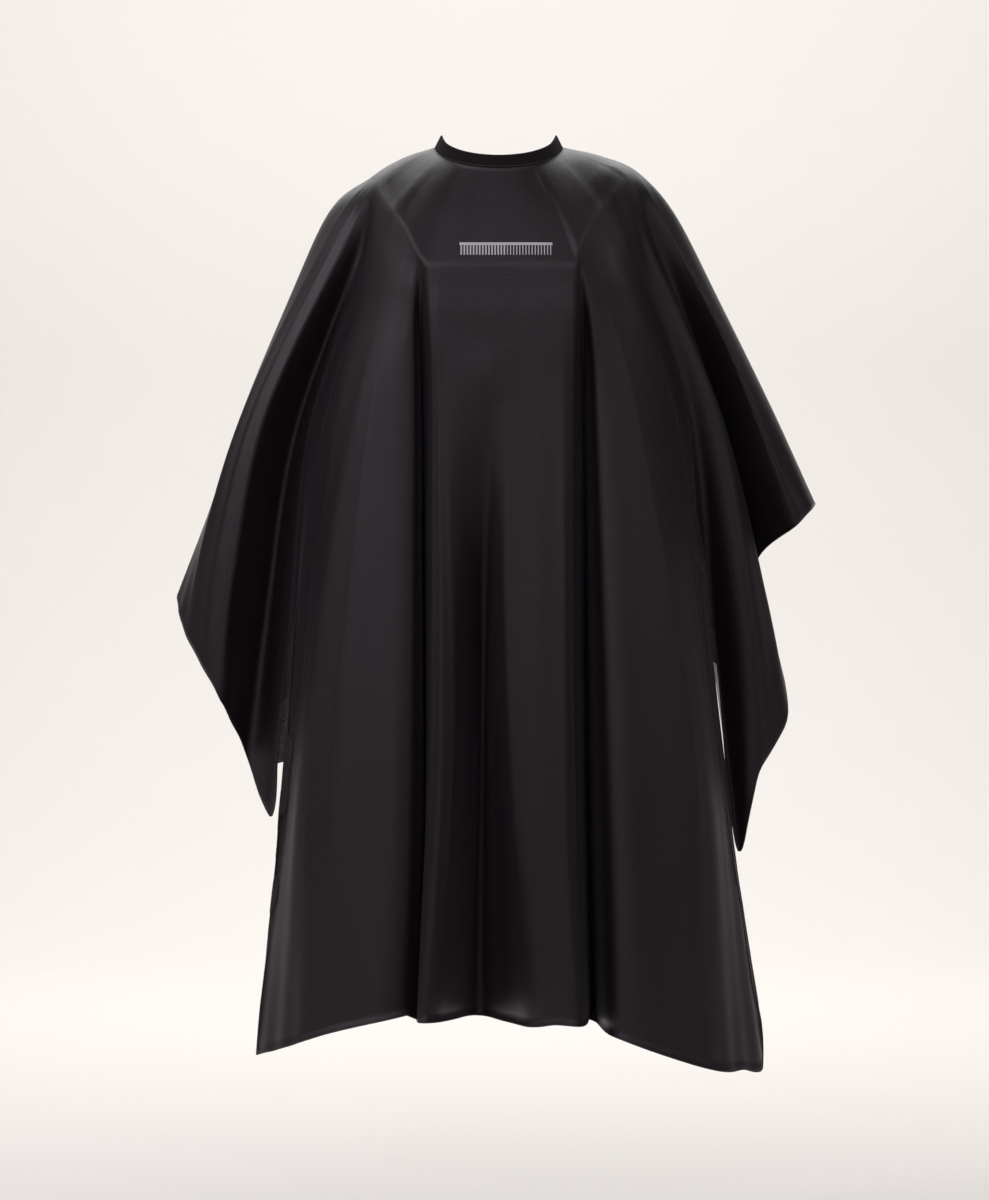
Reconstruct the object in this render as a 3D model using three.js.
// Barber cape, hanging in wear from its neckband: one coated cloth with a turned hem, a two-layer
// neckband, and a press-stud closing tab at the nape.
// Millimetres. Origin: centre of the neck opening. +X to the viewer's right, -Y front, +Z up.
import * as THREE from "three";

// ---- driving sizes -------------------------------------------------------------------------
const SPREAD = 752; // tip to tip across the two sides
const DROP = 1070; // neck opening down to the lowest point of the front hem
const REACH = 444; // front-most fold to rear-most fold
const NECK_W = 132; // neck opening, side to side, at the band's top edge
const NECK_FRONT = 64; // origin forward to the band's top edge
const NECK_NAPE = 56; // origin back to the flat of the band at the nape
const NECK_RISE = 12; // height of the band's top edge over the shoulders
const FRONT_DIP = 31.5; // how far the top edge dips from there to the front
const NAPE_DIP = 18; // how far it dips to the nape
const NAPE_FLAT = 34; // half length of the flat part of the band at the nape
const BAND_H = 16.5; // height of the neckband
const BAND_FLARE = 8; // how far the band's lower edge stands out beyond its top edge
const LAYER = 1.1; // one layer of the neckband
const CLOTH = 2; // stand-in thickness of the cape cloth
const HEM_W = 12; // width of the turned hem
const HEM_T = 1; // thickness of the turned layer
const GAP = 0.3; // clearance between pieces that touch
const SEAM_GAP = 0.8; // clearance where one length of the cloth meets the next
const STUD_R = 3.2; // head radius of a press stud
const STUD_H = 1.8; // height of the stud's head
const FLANGE_R = 5; // radius of a stud's flange and of a ring
const FLANGE_T = 0.8; // thickness of a flange, a ring
const CAP_R = 6; // radius of the domed cap on the tab
const CAP_T = 1.4; // height of the cap
const TAB_T = 2; // thickness of the closing tab
const STUD_PITCH = 18; // distance between neighbouring studs along the band
const FREE_STUDS = 3; // studs left free for a smaller neck

const kx = SPREAD / 752;
const ky = REACH / 444;
const kz = DROP / 1070;

const V = (x, y, z) => new THREE.Vector3(x, y, z);
const clamp = (t, a = 0, b = 1) => Math.min(b, Math.max(a, t));
const smooth = (t) => { const c = clamp(t); return c * c * (3 - 2 * c); };
const rad = (deg) => deg * Math.PI / 180;

// ---- neck line -----------------------------------------------------------------------------
// Angle 0 is the front, +90 the wearer's left (viewer's right), +-180 the nape. The left half ends
// one press-stud stack further out, so that its tab closes over the outside of the underlap.
const STACK = 2 * LAYER + GAP + GAP + FLANGE_T + STUD_H + 2 * GAP; // nape face to the tab's inner face
const topLift = (a) => {
  const c = Math.abs(a);
  return NECK_RISE - (c <= 90 ? FRONT_DIP * Math.cos(rad(c)) : NAPE_DIP * smooth((c - 90) / 50));
};
// point on the inner face of the band; drop 0 is the top edge, 1 the lower edge; out is outwards
function bandPoint(a, drop, out) {
  const side = Math.sign(a) || 1;
  const c = Math.abs(a);
  const flare = BAND_FLARE * drop * (1 - smooth((c - 90) / 45));
  const o = out + flare;
  const z = topLift(a) - BAND_H * drop;
  const depth = NECK_NAPE + (side < 0 ? STACK : 0);
  if (c <= 90) {
    const t = rad(c);
    return V(side * (NECK_W / 2 + o) * Math.sin(t), -(NECK_FRONT + o) * Math.cos(t), z);
  }
  if (c <= 140) {
    const t = rad((c - 90) / 50 * 90);
    return V(side * (NAPE_FLAT + (NECK_W / 2 - NAPE_FLAT + o) * Math.cos(t)), (depth + o) * Math.sin(t), z);
  }
  return V(side * NAPE_FLAT * (180 - c) / 40, depth + o, z);
}

// ---- drape of the cloth --------------------------------------------------------------------
// Each fold line runs from the neckband to the edge of the cloth: angle at the neck, then points
// on the crest of the yoke, at the chest, at the waist, at the knee and on the hem. A back line
// leaves out its crest, which then lies part of the way to its chest point.
const FOLDS = [
  ["left nape edge", -140, [-30, 112, -125], [-31, 135, -300], [-34, 158, -440], [-38, 185, -575]],
  ["left back ridge", -134, [-60, 116, -128], [-62, 152, -300], [-70, 185, -450], [-78, 215, -590]],
  ["left back groove", -128, [-94, 110, -128], [-102, 108, -300], [-108, 100, -450], [-112, 92, -592]],
  ["left blade ridge", -121, [-124, 110, -125], [-142, 150, -300], [-155, 188, -450], [-160, 214, -618]],
  ["left blade groove", -114, [-150, 92, -118], [-180, 96, -300], [-202, 84, -450], [-210, 72, -615]],
  ["left back corner", -108, [-166, 82, -110], [-212, 122, -310], [-242, 150, -500], [-258, 170, -662]],
  ["left back side", -102, [-176, 64, -102], [-232, 96, -300], [-272, 122, -480], [-295, 140, -628]],
  ["left rear of arm", -97, [-186, 42, -92], [-238, 56, -270], [-280, 60, -430], [-312, 64, -562]],
  ["left arm back", -93, [-196, 26, -84], [-256, 42, -230], [-318, 50, -400], [-358, 50, -530]],
  ["left tip", -90, [-150, 4, -37], [-203, 8, -82], [-263, 10, -222], [-320, 10, -378], [-378, 10, -528]],
  ["left arm front", -86, [-149, -20, -42], [-192, -18, -96], [-290, -28, -290],
    [-340, -34, -440], [-367, -35, -573]],
  ["left wing ridge", -82, [-146, -36, -50], [-180, -34, -120], [-272, -60, -320],
    [-308, -76, -500], [-325, -80, -645]],
  ["left wing groove", -78, [-142, -47, -58], [-166, -28, -136], [-244, -12, -340],
    [-278, -14, -560], [-298, -34, -710]],
  ["left wing point", -74, [-138, -56, -65], [-160, -40, -148], [-228, -26, -345],
    [-252, -46, -600], [-262, -60, -787]],
  ["left side split", -70, [-133, -66, -72], [-157, -58, -160], [-216, -48, -330],
    [-234, -72, -520], [-243, -84, -645]],
  ["left front side", -66, [-128, -76, -79], [-153, -72, -170], [-210, -64, -350],
    [-241, -86, -650], [-254, -98, -800]],
  ["left front corner", -61, [-121, -88, -87], [-147, -88, -180], [-200, -86, -350],
    [-238, -106, -740], [-278, -110, -1058]],
  ["left outer front", -55, [-113, -99, -98], [-136, -106, -190], [-178, -112, -345],
    [-224, -144, -710], [-238, -170, -1040]],
  ["left broad fold", -47, [-104, -114, -114], [-121, -124, -203], [-150, -138, -345],
    [-184, -174, -700], [-186, -204, -1020]],
  ["left inner fold", -40, [-96, -127, -132], [-102, -134, -215], [-103, -140, -340],
    [-106, -182, -700], [-108, -200, -1000]],
  ["left groove", -34, [-87, -135, -149], [-90, -118, -232], [-90, -92, -340], [-88, -66, -700], [-78, -46, -1008]],
  ["left ridge", -28, [-79, -138, -154], [-78, -146, -235], [-76, -151, -340], [-78, -188, -700], [-92, -216, -1006]],
  ["left strip", -18, [-52, -141, -154], [-55, -149, -235], [-58, -158, -340], [-51, -190, -700], [-66, -216, -1007]],
  ["centre groove", -5, [-10, -141, -154], [-13, -149, -235], [-16, -152, -345],
    [-20, -108, -690], [-24, -78, -1016]],
  ["centre strip", 5, [16, -141, -154], [13, -149, -235], [8, -156, -345], [11, -180, -690], [32, -192, -1015]],
  ["right strip", 16, [50, -141, -154], [54, -150, -235], [60, -158, -340], [60, -194, -700], [64, -218, -1010]],
  ["right ridge", 27, [86, -138, -154], [85, -146, -235], [84, -151, -340], [86, -186, -700], [94, -214, -1012]],
  ["right groove", 33, [89, -135, -149], [96, -118, -232], [100, -92, -340], [104, -66, -700], [112, -50, -1022]],
  ["right inner fold", 39, [92, -127, -132], [108, -132, -215], [118, -137, -345],
    [132, -176, -700], [138, -196, -1026]],
  ["right broad fold", 46, [98, -113, -114], [127, -120, -203], [161, -132, -343],
    [220, -158, -700], [230, -186, -1062]],
  ["right outer front", 54, [106, -100, -99], [142, -101, -190], [188, -102, -345],
    [247, -118, -720], [275, -146, -1070]],
  ["right front corner", 60, [114, -88, -87], [152, -78, -180], [208, -74, -350],
    [257, -94, -740], [305, -96, -1053]],
  ["right front side", 65, [121, -77, -78], [158, -62, -168], [215, -54, -350], [253, -80, -660], [269, -92, -822]],
  ["right side split", 69, [127, -68, -70], [163, -46, -156], [214, -34, -290], [227, -50, -410], [235, -62, -487]],
  ["right fall point", 73, [134, -59, -62], [168, -38, -144], [228, -22, -322], [254, -20, -600], [275, -44, -820]],
  ["right fall", 77, [141, -49, -54], [174, -30, -136], [245, -28, -312], [289, -44, -560], [303, -50, -737]],
  ["right fall ridge", 80, [147, -40, -48], [179, -26, -126], [262, -22, -320], [314, -16, -530], [340, -14, -656]],
  ["right wing groove", 83, [153, -30, -42], [184, -14, -114], [252, 12, -290], [280, 28, -420], [303, 40, -505]],
  ["right arm front", 87, [160, -14, -35], [196, -14, -94], [264, -26, -226], [316, -26, -352], [352, -16, -446]],
  ["right tip", 90, [165, 4, -33], [209, 8, -82], [266, 10, -194], [324, 12, -312], [374, 13, -422]],
  ["right arm back", 93, [200, 26, -84], [258, 44, -210], [312, 54, -330], [352, 56, -432]],
  ["right rear of arm", 97, [188, 42, -92], [240, 58, -250], [276, 62, -370], [302, 68, -468]],
  ["right back side", 102, [178, 64, -102], [236, 98, -290], [274, 128, -450], [298, 146, -585]],
  ["right back corner", 108, [168, 82, -110], [215, 124, -310], [245, 154, -480], [262, 176, -640]],
  ["right blade groove", 114, [150, 92, -118], [182, 98, -300], [205, 88, -450], [215, 76, -600]],
  ["right blade ridge", 121, [122, 110, -125], [142, 150, -300], [156, 190, -450], [165, 217, -612]],
  ["right back groove", 129, [92, 110, -128], [100, 108, -300], [106, 100, -450], [110, 92, -590]],
  ["right back ridge", 142, [52, 117, -128], [56, 154, -300], [60, 188, -450], [62, 218, -590]],
  ["right nape edge", 166, [6, 112, -125], [12, 134, -300], [18, 158, -440], [24, 182, -572]],
];
const fold = (name) => FOLDS.findIndex((f) => f[0] === name);

// stations of one fold line: under the band, over the collar bone, then the five named points
const clothTop = (angle) => bandPoint(angle, 1, LAYER + GAP).add(V(0, 0, -1.5 * GAP - CLOTH / 2));
function stations([, angle, ...named]) {
  const start = clothTop(angle);
  const pts = named.map(([x, y, z]) => V(x * kx, y * ky, z * kz));
  const sideways = Math.sin(rad(angle)) ** 2;
  if (pts.length === 4) pts.unshift(start.clone().lerp(pts[0], 0.6).add(V(0, 0, 4 + 11 * sideways)));
  const collar = start.clone().lerp(pts[0], 0.5).add(V(0, 0, 2 + 4 * sideways));
  return [start, collar, ...pts];
}
const LINES = FOLDS.map(stations);

function catmull(p, t) { // p: four Vector3, t between the middle two
  const t2 = t * t, t3 = t2 * t;
  const w = [-t3 + 2 * t2 - t, 3 * t3 - 5 * t2 + 2, -3 * t3 + 4 * t2 + t, t3 - t2].map((c) => c / 2);
  return w.reduce((s, c, i) => s.addScaledVector(p[i], c), V(0, 0, 0));
}
function along(list, s) { // smooth curve through a list of points, s in list steps
  const n = list.length - 1;
  const i = clamp(Math.floor(s), 0, n - 1);
  const at = (k) => (k < 0 ? list[0].clone().multiplyScalar(2).sub(list[1])
    : k > n ? list[n].clone().multiplyScalar(2).sub(list[n - 1]) : list[k]);
  return catmull([at(i - 1), at(i), at(i + 1), at(i + 2)], s - i);
}

const ROWS = [0, 0.5, 1, 1.5, 2, 2.5, 3, 3.5, 4, 4.5, 5, 5.4, 5.8, 6];
const SUB = 2; // columns for each fold line

// grid of cloth points and outward normals between two fold lines
function clothGrid(from, to) {
  const cols = [];
  for (let c = 0; c <= (to - from) * SUB; c += 1) cols.push(from + c / SUB);
  const e = 0.02;
  const last = LINES.length - 1;
  const rings = ROWS.map((v) => [v, Math.max(v - e, 0), Math.min(v + e, 6)]
    .map((w) => LINES.map((line) => along(line, w))));
  const angleAt = (u) => {
    const i = Math.min(Math.floor(u), last - 1);
    return FOLDS[i][1] + (FOLDS[i + 1][1] - FOLDS[i][1]) * (u - i);
  };
  return cols.map((u) => rings.map(([mid, above, below], r) => {
    const p = r === 0 ? clothTop(angleAt(u)) : along(mid, u);
    const du = along(mid, Math.min(u + e, last)).sub(along(mid, Math.max(u - e, 0)));
    const dv = along(below, u).sub(along(above, u));
    return { p, n: du.cross(dv).normalize().negate() };
  }));
}

// ---- solids --------------------------------------------------------------------------------
// closed solid between two equal grids of points: grid[col][row]
function slab(outer, inner) {
  const pos = [];
  const idx = [];
  const C = outer.length;
  const R = outer[0].length;
  for (const g of [outer, inner]) for (const col of g) for (const p of col) pos.push(p.x, p.y, p.z);
  const o = (c, r) => c * R + r;
  const i = (c, r) => C * R + c * R + r;
  const quad = (a, b, c, d) => idx.push(a, b, c, a, c, d);
  for (let c = 0; c < C - 1; c += 1) for (let r = 0; r < R - 1; r += 1) {
    quad(o(c, r), o(c, r + 1), o(c + 1, r + 1), o(c + 1, r));
    idx.push(i(c, r), i(c + 1, r + 1), i(c, r + 1), i(c, r), i(c + 1, r), i(c + 1, r + 1));
  }
  for (let c = 0; c < C - 1; c += 1) {
    quad(o(c, 0), o(c + 1, 0), i(c + 1, 0), i(c, 0));
    quad(o(c + 1, R - 1), o(c, R - 1), i(c, R - 1), i(c + 1, R - 1));
  }
  for (let r = 0; r < R - 1; r += 1) {
    quad(o(0, r + 1), o(0, r), i(0, r), i(0, r + 1));
    quad(o(C - 1, r), o(C - 1, r + 1), i(C - 1, r + 1), i(C - 1, r));
  }
  const g = new THREE.BufferGeometry();
  g.setAttribute("position", new THREE.Float32BufferAttribute(pos, 3));
  g.setIndex(idx);
  return g;
}
const group = new THREE.Group();
const LOOKS = {
  cloth: [0x17151a, 0.45, 0], hem: [0x141217, 0.5, 0], band: [0x0d0c0e, 0.9, 0],
  metal: [0x26262a, 0.35, 0.9], tab: [0x111013, 0.85, 0],
};
function add(name, geometry, look) {
  const [color, roughness, metalness] = LOOKS[look];
  geometry.computeVertexNormals();
  const mesh = new THREE.Mesh(geometry, new THREE.MeshStandardMaterial({ color, roughness, metalness }));
  mesh.name = name;
  group.add(mesh);
}
const offset = (grid, d) => grid.map((col) => col.map(({ p, n }) => p.clone().addScaledVector(n, d)));
// nudge the first and last columns inwards so that neighbouring pieces keep their gap
function inset(grid, d) {
  const ends = [[0, 1], [grid.length - 1, grid.length - 2]];
  const moved = ends.map(([a, b]) => grid[a].map((q, r) => {
    const dir = grid[b][r].p.clone().sub(q.p).normalize();
    return { p: q.p.clone().addScaledVector(dir, d), n: q.n };
  }));
  return grid.map((col, c) => (c === 0 ? moved[0] : c === grid.length - 1 ? moved[1] : col));
}
const mix = (a, b, f) => ({ p: a.p.clone().lerp(b.p, f), n: a.n.clone().lerp(b.n, f).normalize() });
const step = (a, b, d) => mix(a, b, Math.min(0.92, d / a.p.distanceTo(b.p)));

const LAST = ROWS.length - 1;
// cut the grid one hem's width in from the lower edge, and in from a nape edge when it has one
function hemmed(grid, napeFirst, napeLast) {
  const out = grid.map((col) => col.map((q, r) => (r === LAST - 1 ? step(col[LAST], q, HEM_W) : q)));
  const beside = (edge, next) => edge.map((q, r) => step(q, next[r], HEM_W));
  if (napeFirst) out.splice(1, 0, beside(out[0], out[1]));
  if (napeLast) out.splice(out.length - 1, 0, beside(out[out.length - 1], out[out.length - 2]));
  return out;
}
const turnedLayer = (cols) => slab(offset(cols, -CLOTH / 2 - GAP), offset(cols, -CLOTH / 2 - GAP - HEM_T));
const hemStrip = (grid) => turnedLayer(grid.map((col) => col.slice(LAST - 1)));
const facing = (cols) => turnedLayer(cols.map((col) => {
  const rows = col.slice(0, LAST);
  rows[LAST - 1] = step(rows[LAST - 1], rows[LAST - 2], 2 * GAP);
  return rows;
}));

// ---- the cape cloth, in seven lengths of the one sheet, with its turned hem -------------------
const SEAMS = [fold("left nape edge"), fold("left tip"), fold("left wing point") - 0.5,
  fold("left groove") - 0.5, fold("right ridge") - 0.5, fold("right fall point") + 0.5,
  fold("right tip"), fold("right nape edge")];
const LENGTHS = ["left_back", "left_wing", "left_front", "middle_front", "right_front", "right_wing",
  "right_back"];
const PANELS = LENGTHS
  .map((name, i) => [name, SEAMS[i], SEAMS[i + 1]]);
for (const [name, from, to] of PANELS) {
  const open = [name === "left_back", name === "right_back"];
  const grid = hemmed(inset(clothGrid(from, to), SEAM_GAP / 2), ...open);
  add(`${name}_cloth`, slab(offset(grid, CLOTH / 2), offset(grid, -CLOTH / 2)), "cloth");
  const corner = (fold(name === "left_front" ? "left front corner" : "right front corner") - from) * SUB;
  const lower = { left_front: [corner], right_front: [0, corner + 1] }[name] || [0];
  add(`${name}_hem`, hemStrip(grid.slice(...lower)), "hem");
  if (open[0]) add("left_nape_facing", facing(grid.slice(0, 2)), "hem");
  if (open[1]) add("right_nape_facing", facing(grid.slice(-2)), "hem");
}

// ---- neckband: outer layer and lining, from the tab's root round the front to the underlap ----
const UNDERLAP = 2 * 180 - 136; // the underlap runs on past the nape to here
function bandGrid(out) {
  const angles = [];
  for (let a = -140; a < 140; a += Math.abs(a + 0.1) < 90 ? 7.5 : 5) angles.push(a);
  angles.push(140, 152, 166, 180);
  const cols = angles.map((a) => [0, 1].map((d) => bandPoint(a, d, out)));
  const x = -NAPE_FLAT * (180 - (360 - UNDERLAP)) / 40;
  cols.push([0, 1].map((d) => V(Math.max(x, -NAPE_FLAT + 1), NECK_NAPE + out, topLift(180) - BAND_H * d)));
  return cols;
}
add("neckband_lining", slab(bandGrid(LAYER), bandGrid(0)), "band");
add("neckband_shell", slab(bandGrid(2 * LAYER + GAP), bandGrid(LAYER + GAP)), "band");

// ---- closing tab: hinges about its root, beside the left end of the band ----------------------
const TAB_Y = NECK_NAPE + STACK; // inner face
const TAB_ROOT = -NAPE_FLAT + 2 * GAP;
const FIRST_STUD = 4; // x of the stud nearest the tab's root
const TAB_END = FIRST_STUD + STUD_PITCH + CAP_R + 4;
const bandMid = topLift(180) - BAND_H / 2;
function tabOutline() {
  const s = new THREE.Shape();
  const h = BAND_H / 2 - 0.5;
  s.moveTo(TAB_ROOT, -h);
  s.lineTo(TAB_END - h, -h);
  s.absarc(TAB_END - h, 0, h, -Math.PI / 2, Math.PI / 2, false);
  s.lineTo(TAB_ROOT, h);
  s.closePath();
  return s;
}
function upright(geometry, y) { // drawn in X-Y with depth Z, stood up to face +Y
  geometry.rotateX(Math.PI / 2);
  geometry.translate(0, y, bandMid);
  return geometry;
}
const tab = new THREE.ExtrudeGeometry(tabOutline(), { depth: TAB_T, bevelEnabled: false, curveSegments: 8 });
add("closing_tab", upright(tab, TAB_Y + TAB_T), "tab");

// ---- press studs ---------------------------------------------------------------------------
const TURN = 20; // facets round a stud
function turned(profile, at, dir) { // closed profile [radius, distance along dir]
  const pts = [...profile, profile[0]].map(([r, d]) => new THREE.Vector2(r, d));
  const g = new THREE.LatheGeometry(pts, TURN);
  g.applyQuaternion(new THREE.Quaternion().setFromUnitVectors(V(0, 1, 0), dir));
  g.translate(at.x, at.y, at.z);
  return g;
}
// spots for the studs along the underlap: two under the tab, the free ones on round the band
function studSpot(k) {
  const s = FIRST_STUD + k * STUD_PITCH;
  if (s <= NAPE_FLAT - FLANGE_R - 1) {
    return { face: V(s, NECK_NAPE, bandMid), dir: V(0, 1, 0) };
  }
  const mid = (a) => bandPoint(a, 0.5, 0);
  let a = 140;
  for (let run = s - NAPE_FLAT; run > 0 && a > 96; a -= 0.1) run -= mid(a).distanceTo(mid(a - 0.1));
  const across = mid(a + 0.5).sub(mid(a - 0.5));
  const up = bandPoint(a, 0, 0).sub(bandPoint(a, 1, 0));
  return { face: mid(a), dir: across.cross(up).normalize() };
}
const SEAT = 2 * LAYER + GAP + GAP; // inner face of the band to the underside of a flange
for (let k = 0; k < 2 + FREE_STUDS; k += 1) {
  const { face, dir } = studSpot(k);
  const at = (d) => face.clone().addScaledVector(dir, d);
  const free = k >= 2;
  const lift = free ? 0.7 : 0; // the band is hollow here, so a flat ring stands a little off it
  const h = STUD_H;
  add(`stud_${k + 1}`, turned([[0, 0], [FLANGE_R, 0], [FLANGE_R, FLANGE_T], [STUD_R * 0.8, FLANGE_T],
    [STUD_R * 0.8, FLANGE_T + 0.3 * h], [STUD_R, FLANGE_T + 0.6 * h], [STUD_R * 0.7, FLANGE_T + h],
    [0, FLANGE_T + h]], at(SEAT), dir), "metal");
  add(`stud_ring_${k + 1}`, turned([[STUD_R * 0.7, 0], [FLANGE_R, 0], [FLANGE_R, FLANGE_T],
    [STUD_R * 0.7, FLANGE_T]], at(-GAP - FLANGE_T - lift), dir), "metal");
}
for (let k = 0; k < 2; k += 1) {
  const x = FIRST_STUD + k * STUD_PITCH;
  const out = V(0, 1, 0);
  // socket: a ring round the stud's head, hung under the tab
  const inner = STUD_R + GAP;
  const floor = SEAT + FLANGE_T + GAP;
  const top = STACK - GAP;
  add(`socket_${k + 1}`, turned([[inner, floor], [FLANGE_R, floor], [FLANGE_R, top], [inner, top]],
    V(x, NECK_NAPE, bandMid), out), "metal");
  add(`cap_${k + 1}`, turned([[0, 0], [CAP_R, 0], [CAP_R, 0.5 * CAP_T], [CAP_R * 0.75, 0.9 * CAP_T],
    [0, CAP_T]], V(x, TAB_Y + TAB_T + GAP, bandMid), out), "metal");
}

export default group;
